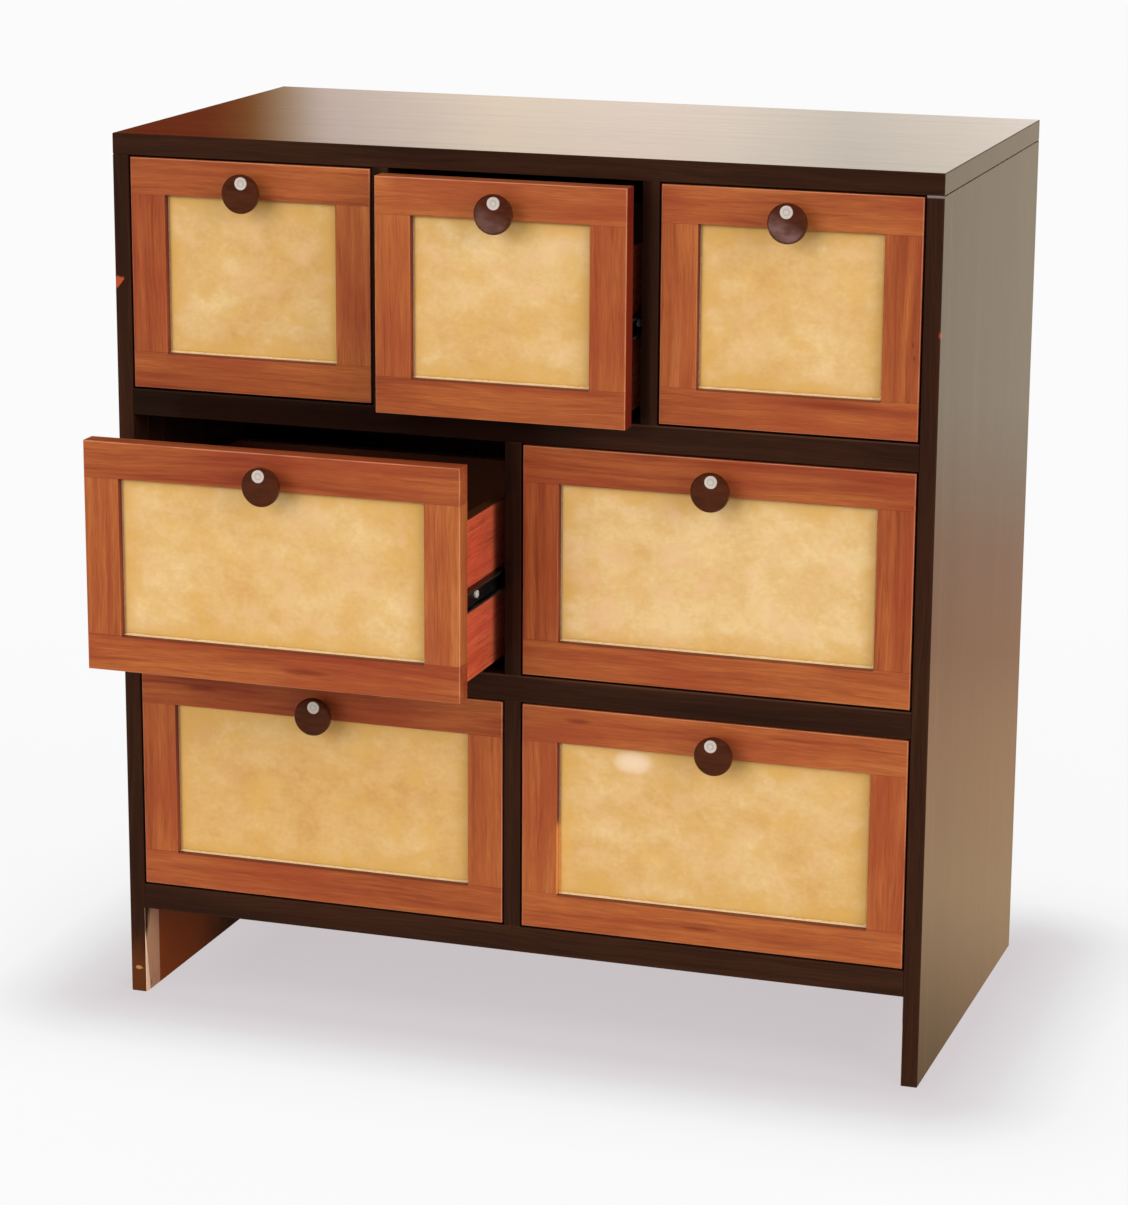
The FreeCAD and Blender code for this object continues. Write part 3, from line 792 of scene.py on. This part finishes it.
def paperMaterial(name, drawer=None):  # without a drawer it is the board behind the sheets
    look = paperLook
    paleness = look["paleness"].get(drawer, 0.0)
    material, tree = newMaterial(name)
    place = objectPlace(tree)
    broad = cloud(tree, place, look["broad"], detail=2.0, distortion=0.3)
    patch = cloud(tree, place, look["patch"], distortion=0.3)
    speck = cloud(tree, place, look["speck"], roughness=0.6)
    fibre = cloud(tree, place, look["fibre"], roughness=0.7, distortion=1.2)
    tint = cloud(tree, place, look["tint"], distortion=0.4)
    share = weighted(tree, *zip((broad, patch, speck), look["shares"]))
    colour = ramp(tree, plus(tree, share, look["paleShift"] * paleness), look["colours"])
    pinkAmount = look["pinkAmount"] + look["palePink"] * paleness
    goldenAmount = look["goldenAmount"] + look["paleGolden"] * paleness
    colour = tinted(tree, colour, tint, look["pinkBand"], pinkAmount, look["pink"])
    colour = tinted(tree, colour, tint, look["goldenBand"], goldenAmount, look["golden"])
    colour = tinted(tree, colour, fibre, look["fibreBand"], look["fibreAmount"], look["fibreColour"])
    if drawer:
        colour = sheetEdge(tree, colour, patch, speck)
    # a painted glare on one sheet
    if drawer in glarePlaces:
        far = plus(tree, spotDistance(tree, axesOf(tree, place), glarePlaces[drawer]), patch)
        colour = tinted(tree, colour, far, look["glareBand"], look["glareAmount"], look["glare"])
    height = weighted(tree, (patch, look["patchBump"]), (fibre, 1 - look["patchBump"]))
    shade(tree, look, colour, remap(tree, patch, *look["roughBand"], *look["roughness"]), height)
    return material


def keepNumbers(piece, name, values):  # for the material: one number for each grid point, on both faces
    attribute = piece.data.attributes.new(name, "FLOAT", "POINT")
    attribute.data.foreach_set("value", np.tile(values.ravel(), 2).astype(np.float32))


# A closed shell over a grid: outer and inner hold x, y, z of every grid point of its two faces
def shellMesh(name, outer, inner, material):
    rows, columns = outer.shape[:2]
    points = np.concatenate([outer.reshape(-1, 3), inner.reshape(-1, 3)])
    index = np.arange(rows * columns).reshape(rows, columns)
    quads = np.stack([index[:-1, :-1], index[:-1, 1:], index[1:, 1:], index[1:, :-1]], -1).reshape(-1, 4)
    back = quads[:, ::-1] + rows * columns
    rim = np.concatenate([index[0, :], index[1:, -1], index[-1, -2::-1], index[-2:0:-1, 0]])
    after = np.roll(rim, -1)
    wall = np.stack([after, rim, rim + rows * columns, after + rows * columns], -1)
    mesh = bpy.data.meshes.new(name)
    faces = np.concatenate([quads, back, wall])
    mesh.from_pydata(points, [], faces)
    mesh.polygons.foreach_set("use_smooth", np.arange(len(faces)) < 2 * len(quads))
    mesh.update()
    piece = bpy.data.objects.new(name, mesh)
    scene.collection.objects.link(piece)
    mesh.materials.append(material)
    return piece


def cockles(x, z, seed):  # a sum of slanted sine waves over the sheet, the longest the strongest
    chance = np.random.default_rng(seed)
    waves = paperSizes["waves"]
    total = np.zeros_like(x)
    for length in waves:
        turn, start = chance.uniform(0, 2 * math.pi, 2)
        along = x * math.cos(turn) + z * math.sin(turn)
        total += np.sin(2 * math.pi * along / length + start) * length / waves[0]
    return total


# One sheet of paper on a panel.  Its cockles die out towards the edges, where the frame holds it flat, and
# its cut edge shows on all sides but the top, where it is left out as painted shade.
def paperPiece(drawer, number, material):
    low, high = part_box(drawer + "_frame")
    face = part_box(drawer + "_panel")[0].y
    left = low.x + frontSizes["stile"] + paperSizes["inset"]
    right = high.x - frontSizes["stile"] - paperSizes["inset"]
    bottom = low.z + frontSizes["rail"] + paperSizes["inset"]
    top = high.z - frontSizes["rail"] - paperSizes["inset"]
    xs = np.linspace(left, right, int((right - left) / paperSizes["step"]))
    zs = np.linspace(bottom, top, int((top - bottom) / paperSizes["step"]))
    x, z = np.meshgrid(xs, zs)
    rim = np.minimum(np.minimum(x - left, right - x), z - bottom)
    edge = np.minimum(rim, top - z)
    calm = np.clip(edge / paperSizes["calmEdge"], 0, 1) ** paperSizes["calmPower"]
    waves = cockles(x, z, firstSeed["paper"] + number)
    limit = paperSizes["cockleLimit"]
    swing = 1 + paperSizes["cockleSwing"] * np.clip(waves, -limit, limit)
    depth = paperSizes["thickness"] + paperSizes["cockle"] * calm * swing
    outer = np.stack([x, face - depth, z], -1)
    inner = np.stack([x, np.full_like(x, face), z], -1)
    piece = shellMesh(drawer + "_paper", outer, inner, material)
    keepNumbers(piece, "fromEdge", edge)
    keepNumbers(piece, "fromRim", rim)
    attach(piece, drawer)


def dressPanels():
    backing = paperMaterial("goldPaper_board")
    for number, drawer in enumerate(drawers):
        paint(drawer + "_panel", backing)
        paperPiece(drawer, number, paperMaterial("goldPaper_" + drawer, drawer))


# Knobs: dark turned wood with faint rings, polished.  Two of them have a painted reflection low on the face,
# a soft mauve-grey sheen.
knobLook = {
    "colours": [(0.24, tone(54, 22, 9)), (0.78, tone(80, 34, 15))],
    "grain": (0.016, 0.003, 0.003),
    "ring": 0.0011,
    "ringShare": 0.02,
    "ringBump": 0.12,
    "grainBump": 0.5,
    "wear": 0.35,
    "wearWidth": 0.0008,
    "wearColour": tone(134, 76, 54),
    "roughness": 0.26,
    "bump": 0.00005,
    "specular": 0.3, "coat": 0.1, "coatRoughness": 0.12,
}
# the painted reflection low on two knobs
knobSheen = {
    "colour": tone(150, 116, 112),
    "amount": {"upper_right": 0.55, "upper_middle": 0.3},
    "towards": (-0.5, 0.0, -1.0),
    "band": (-0.005, 0.008),
    "cloud": (0.009, 0.009, 0.006),
    "cloudBand": (0.3, 0.6),
    "thinnest": 0.45,
    "rim": 0.8,
}


def knobSheenPatch(tree, place, flat, radius, half, amount):
    lower = vectorCalc(tree, "DOT_PRODUCT", flat, knobSheen["towards"])
    patchy = cloud(tree, place, knobSheen["cloud"], detail=2.0)
    return times(tree, remap(tree, lower, *knobSheen["band"]),
                 remap(tree, patchy, *knobSheen["cloudBand"], knobSheen["thinnest"], 1.0),
                 remap(tree, radius, half, half * knobSheen["rim"], 0.0, amount))


def dressKnobs():
    for number, drawer in enumerate(drawers):
        low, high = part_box(drawer + "_knob")
        material, tree = newMaterial("knobWood_" + drawer)
        place = objectPlace(tree)
        flat, radius = aroundMiddle(tree, place, (low + high) / 2)
        ring = calc(tree, "SINE", times(tree, radius, 2 * math.pi / knobLook["ring"]))
        along = grainVector(tree, axesOf(tree, place), "x", firstSeed["knob"] + number)
        grain = cloud(tree, along, knobLook["grain"])
        share = plus(tree, grain, times(tree, ring, knobLook["ringShare"]))
        colour = wornArris(tree, ramp(tree, share, knobLook["colours"]), knobLook)
        # a painted reflection low on the face
        if drawer in knobSheen["amount"]:
            sheen = knobSheenPatch(tree, place, flat, radius, (high.x - low.x) / 2, knobSheen["amount"][drawer])
            colour = mixColour(tree, sheen, colour, knobSheen["colour"])
        height = weighted(tree, (ring, knobLook["ringBump"]), (grain, knobLook["grainBump"]))
        shade(tree, knobLook, colour, knobLook["roughness"], height)
        paint(drawer + "_knob", material)


# The disc in each knob: pale and shell-like, with a grey ring turned in it.  The ring's four numbers, as
# parts of the radius, are where it starts, is full, starts to fade and ends.
discLook = {
    "pale": tone(200, 190, 184),
    "grey": tone(160, 154, 150),
    "greyAmount": 0.7,
    "warm": tone(198, 184, 168),
    "warmBand": (0.45, 0.7),
    "warmAmount": 0.5,
    "layer": (0.004, 0.004, 0.0012),
    "ring": (0.3, 0.42, 0.52, 0.64),
    "roughness": 0.22,
    "bump": 0.00003,
    "specular": 0.5, "coat": 0.3, "coatRoughness": 0.08,
}


def dressDiscs():
    for drawer in drawers:
        low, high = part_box(drawer + "_inlay")
        material, tree = newMaterial("paleShell_" + drawer)
        place = objectPlace(tree)
        radius = aroundMiddle(tree, place, (low + high) / 2)[1]
        layer = cloud(tree, place, discLook["layer"], detail=4.0, roughness=0.6, distortion=1.5)
        start, full, fading, end = ((high.x - low.x) / 2 * part for part in discLook["ring"])
        ring = times(tree, remap(tree, radius, start, full), remap(tree, radius, end, fading),
                     discLook["greyAmount"])
        colour = mixColour(tree, ring, discLook["pale"], discLook["grey"])
        colour = tinted(tree, colour, layer, discLook["warmBand"], discLook["warmAmount"], discLook["warm"])
        shade(tree, discLook, colour, discLook["roughness"], layer)
        paint(drawer + "_inlay", material)


# Slides: black paint on rolled steel, scuffed on the arrises.  Screws: plated, with fine wear; their
# near-white colour is partly a painted glint.
slideLook = {
    "paint": tone(16, 14, 14),
    "thin": tone(32, 29, 28),
    "warmInnerBand": (0.4, 0.7),
    "rolled": (0.03, 0.0012, 0.0012),
    "wear": 0.4,
    "wearWidth": 0.0005,
    "wearColour": tone(120, 118, 116),
    "roughness": 0.38,
    "bump": 0.00004,
    "specular": 0.22,
}
screwLook = {
    "platedWithGlint": tone(244, 242, 238),
    "dull": tone(206, 203, 199),
    "dullBand": (0.42, 0.68),
    "speck": (0.0012, 0.0012, 0.0012),
    "roughness": 0.3,
    "bump": 0.00003,
    "specular": 0.5, "metal": 0.3,
}


def slideMaterial():
    material, tree = newMaterial("blackSteel")
    along = grainVector(tree, axesOf(tree, objectPlace(tree)), "y", 0)
    rolled = cloud(tree, along, slideLook["rolled"], roughness=0.6)
    colour = tinted(tree, slideLook["paint"], rolled, slideLook["warmInnerBand"], 1.0, slideLook["thin"])
    shade(tree, slideLook, wornArris(tree, colour, slideLook), slideLook["roughness"], rolled)
    return material


def screwMaterial():
    material, tree = newMaterial("platedSteel")
    speck = cloud(tree, objectPlace(tree), screwLook["speck"], detail=4.0, roughness=0.65)
    colour = tinted(tree, screwLook["platedWithGlint"], speck, screwLook["dullBand"], 1.0, screwLook["dull"])
    shade(tree, screwLook, colour, screwLook["roughness"], speck)
    return material


def dressMetal():
    slides, screws = slideMaterial(), screwMaterial()
    for node in frame["nodes"]:
        if node.endswith("slides") or node == "slide_channels":
            paint(node, slides)
        elif node.endswith("screws"):
            paint(node, screws)


dressCase()
dressFronts()
dressBoxes()
print("wood stained")
dressPanels()
dressKnobs()
dressDiscs()
dressMetal()
print("panels papered, knobs and metal done")


# Floor: one pale sheet that glows a little, like a light table, so that its shadows stay light.  A painted
# shadow, the halo, dims the glow by the distance from the chest's footprint, below 0 under the chest.  In the
# gloss of the stain the floor is warmer, by a row of colours over y, and dimmed in front of the chest and
# under it, a painted shade in its reflection.
floorLook = {
    "colour": (0.09, 0.09, 0.092, 1.0),
    "roughness": 0.9,
    "glow": (0.878, 0.88, 0.886, 1.0),
    "paintedShadow": [(-0.06, (0.645, 0.6, 0.616)), (-0.02, (0.676, 0.632, 0.647)),
             (0.01, (0.68, 0.634, 0.649)), (0.03, (0.718, 0.68, 0.694)),
             (0.05, (0.762, 0.732, 0.74)), (0.07, (0.83, 0.826, 0.826)),
             (0.09, (0.89, 0.89, 0.89)), (0.11, (0.953, 0.953, 0.953)),
             (0.135, (0.978, 0.978, 0.978)), (0.16, (0.988, 0.988, 0.988)),
             (0.19, (1.0, 1.0, 1.0))],
    "paintedShadowFrom": -0.1,
    "paintedShadowTo": 0.3,
    "bounce": 0.35,
    "inGloss": [(0.3, (0.82, 0.56, 0.325)), (0.81, (0.78, 0.485, 0.285)),
                (1.08, (0.68, 0.405, 0.25)), (1.5, (0.655, 0.42, 0.29)),
                (2.01, (0.65, 0.53, 0.395)), (2.34, (0.7, 0.6, 0.455))],
    "glossLength": 3.0,
    "glossTurn": (-0.2, 0.4),
    "glossStrength": (0.5, 1.45),
    "underTurn": (-0.012, -0.002),
    "glossUnder": 0.1,
    "reach": 30.0,
}


# how far a point of the floor is outside the chest's footprint, negative inside it
def fromFootprint(tree, axes):
    low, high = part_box("side_lippings")[0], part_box("right_side")[1]
    out = [minus(tree, offset(tree, axes[i], (low[i] + high[i]) / 2), (high[i] - low[i]) / 2)
           for i in (0, 1)]
    beyond = [calc(tree, "MAXIMUM", way, 0.0) for way in out]
    length = calc(tree, "SQRT", plus(tree, *[times(tree, way, way) for way in beyond]))
    return plus(tree, length, calc(tree, "MINIMUM", calc(tree, "MAXIMUM", *out), 0.0))


def floorMaterial():
    material, tree = newMaterial("paleFloor")
    axes = axesOf(tree, objectPlace(tree))
    ray = addNode(tree, "LightPath").outputs
    away = fromFootprint(tree, axes)
    paintedShadow = rowOver(tree, away, floorLook["paintedShadowFrom"], floorLook["paintedShadowTo"], floorLook["paintedShadow"])
    glow = mixColour(tree, 1.0, paintedShadow, floorLook["glow"], "MULTIPLY")
    seen = addNode(tree, "BsdfPrincipled",
                   {"Base Color": floorLook["colour"], "Roughness": floorLook["roughness"],
                    "Specular IOR Level": 0.0, "Emission Color": glow, "Emission Strength": 1.0})
    warmth = rowOver(tree, axes[1], 0.0, floorLook["glossLength"], floorLook["inGloss"])
    strength = times(tree, remap(tree, axes[1], *floorLook["glossTurn"], *floorLook["glossStrength"]),
                     remap(tree, away, *floorLook["underTurn"], floorLook["glossUnder"], 1.0))
    inGloss = addNode(tree, "Emission", {0: warmth, 1: strength})
    bounce = addNode(tree, "Emission", {1: floorLook["bounce"]})
    surface = seen
    for kind, other in (("Is Glossy Ray", inGloss), ("Is Diffuse Ray", bounce)):
        surface = addNode(tree, "MixShader",
                          {0: ray[kind], 1: surface.outputs[0], 2: other.outputs[0]})
    addNode(tree, "OutputMaterial", {"Surface": surface.outputs[0]})
    return material


def flatSheet(name, middle, across, up, material):  # one flat quad round its middle
    corners = [[m + i * a + j * u for m, a, u in zip(middle, across, up)]
               for i, j in ((-1, -1), (1, -1), (1, 1), (-1, 1))]
    mesh = bpy.data.meshes.new(name)
    mesh.from_pydata(corners, [], [(0, 1, 2, 3)])
    mesh.materials.append(material)
    sheet = bpy.data.objects.new(name, mesh)
    scene.collection.objects.link(sheet)
    return sheet


def makeFloor():
    reach = floorLook["reach"]
    floor = flatSheet("floor", (0, 0, 0), (reach, 0, 0), (0, reach, 0), floorMaterial())


# Light: an even room, a soft key from the front left and a soft fill from the right
roomLight = {"colour": (1.0, 0.98, 0.96, 1.0), "soft": 0.67, "inGloss": 0.01, "seen": 0.96}
keyLight = {"strength": 1.25, "angle": 38.0, "towards": (0.34, 0.88, -0.32), "colour": (1.0, 0.97, 0.92)}
fillLight = {"strength": 1.5, "angle": 42.0, "towards": (-0.83, 0.44, -0.34), "colour": (1.0, 0.95, 0.88)}
lampHeight = 3.0


def makeRoom():  # it fills the shadows, shows as the backdrop, and hardly shows in gloss
    world = bpy.data.worlds.new("room")
    scene.world = world
    world.use_nodes = True
    tree = world.node_tree
    tree.nodes.clear()
    ray = addNode(tree, "LightPath").outputs
    strength = remap(tree, ray["Is Camera Ray"], 0.0, 1.0, roomLight["soft"], roomLight["seen"])
    lessInGloss = remap(tree, ray["Is Glossy Ray"], 0.0, 1.0, 1.0, roomLight["inGloss"] / roomLight["soft"])
    background = addNode(tree, "Background",
                         {0: roomLight["colour"], 1: times(tree, strength, lessInGloss)})
    addNode(tree, "OutputWorld", {0: background.outputs[0]})


def makeLamp(name, look):
    light = bpy.data.lights.new(name, "SUN")
    light.energy = look["strength"]
    light.angle = math.radians(look["angle"])
    light.color = look["colour"]
    lamp = bpy.data.objects.new(name, light)
    scene.collection.objects.link(lamp)
    turned = Vector(look["towards"]).to_track_quat("-Z", "Y").to_matrix().to_4x4()
    lamp.matrix_world = Matrix.Translation((0, 0, lampHeight)) @ turned
    lamp.visible_glossy = False


# a sheet behind the chest that shows only in gloss, above all on the top, with a row of colours along x
glossSheet = {
    "middle": (-1.0, 3.2, 1.2),
    "across": (1.7, 0, 0),
    "up": (0, 0, 0.7),
    "strength": 2.0,
    "row": [(-1.9, (0.145, 0.021, 0.006)), (-1.67, (0.15, 0.026, 0.008)),
            (-1.6, (0.2, 0.068, 0.016)), (-1.54, (0.36, 0.238, 0.14)),
            (-1.47, (0.61, 0.495, 0.44)), (-1.36, (0.69, 0.575, 0.5)),
            (-1.17, (0.85, 0.72, 0.57)), (-0.91, (0.885, 0.74, 0.64)),
            (-0.78, (0.85, 0.74, 0.63)), (-0.58, (0.7, 0.64, 0.55)),
            (-0.4, (0.8, 0.715, 0.61)), (-0.3, (0.88, 0.78, 0.69))],
}


def makeGlossSheet():
    material, tree = newMaterial("sheetGlow")
    row = glossSheet["row"]
    along = axesOf(tree, objectPlace(tree))[0]
    colour = rowOver(tree, along, row[0][0], row[-1][0], row)
    glow = addNode(tree, "Emission", {0: colour, 1: glossSheet["strength"]})
    addNode(tree, "OutputMaterial", {"Surface": glow.outputs[0]})
    sheet = flatSheet("glossSheet", glossSheet["middle"], glossSheet["across"], glossSheet["up"], material)
    for rays in ("camera", "diffuse", "shadow"):
        setattr(sheet, "visible_" + rays, False)


# Camera: its place from the front left foot, and where it looks, in degrees
viewFrom = {"place": (1.128, -2.397, 0.9684), "azimuth": -18.24, "elevation": -14.24, "roll": 0.36,
            "focalPixels": 3726.5, "frameHeightPixels": 1205}


def makeCamera():
    azimuth, elevation, roll = (math.radians(viewFrom[key]) for key in ("azimuth", "elevation", "roll"))
    ahead = Vector((math.sin(azimuth) * math.cos(elevation), math.cos(azimuth) * math.cos(elevation),
                    math.sin(elevation)))
    right = ahead.cross(Vector((0, 0, 1))).normalized()
    up = right.cross(ahead)
    rolledRight = right * math.cos(roll) + up * math.sin(roll)
    rolledUp = up * math.cos(roll) - right * math.sin(roll)
    data = bpy.data.cameras.new("camera")
    data.sensor_fit = "VERTICAL"
    data.sensor_height = 36.0
    data.lens = data.sensor_height * viewFrom["focalPixels"] / viewFrom["frameHeightPixels"]
    data.clip_end = 100.0
    camera = bpy.data.objects.new("camera", data)
    scene.collection.objects.link(camera)
    turned = Matrix((rolledRight, rolledUp, -ahead)).transposed().to_4x4()
    camera.matrix_world = Matrix.Translation(caseCorner + Vector(viewFrom["place"])) @ turned
    scene.camera = camera


makeFloor()
makeRoom()
makeLamp("key", keyLight)
makeLamp("fill", fillLight)
makeGlossSheet()
makeCamera()
print("floor, light and camera set")
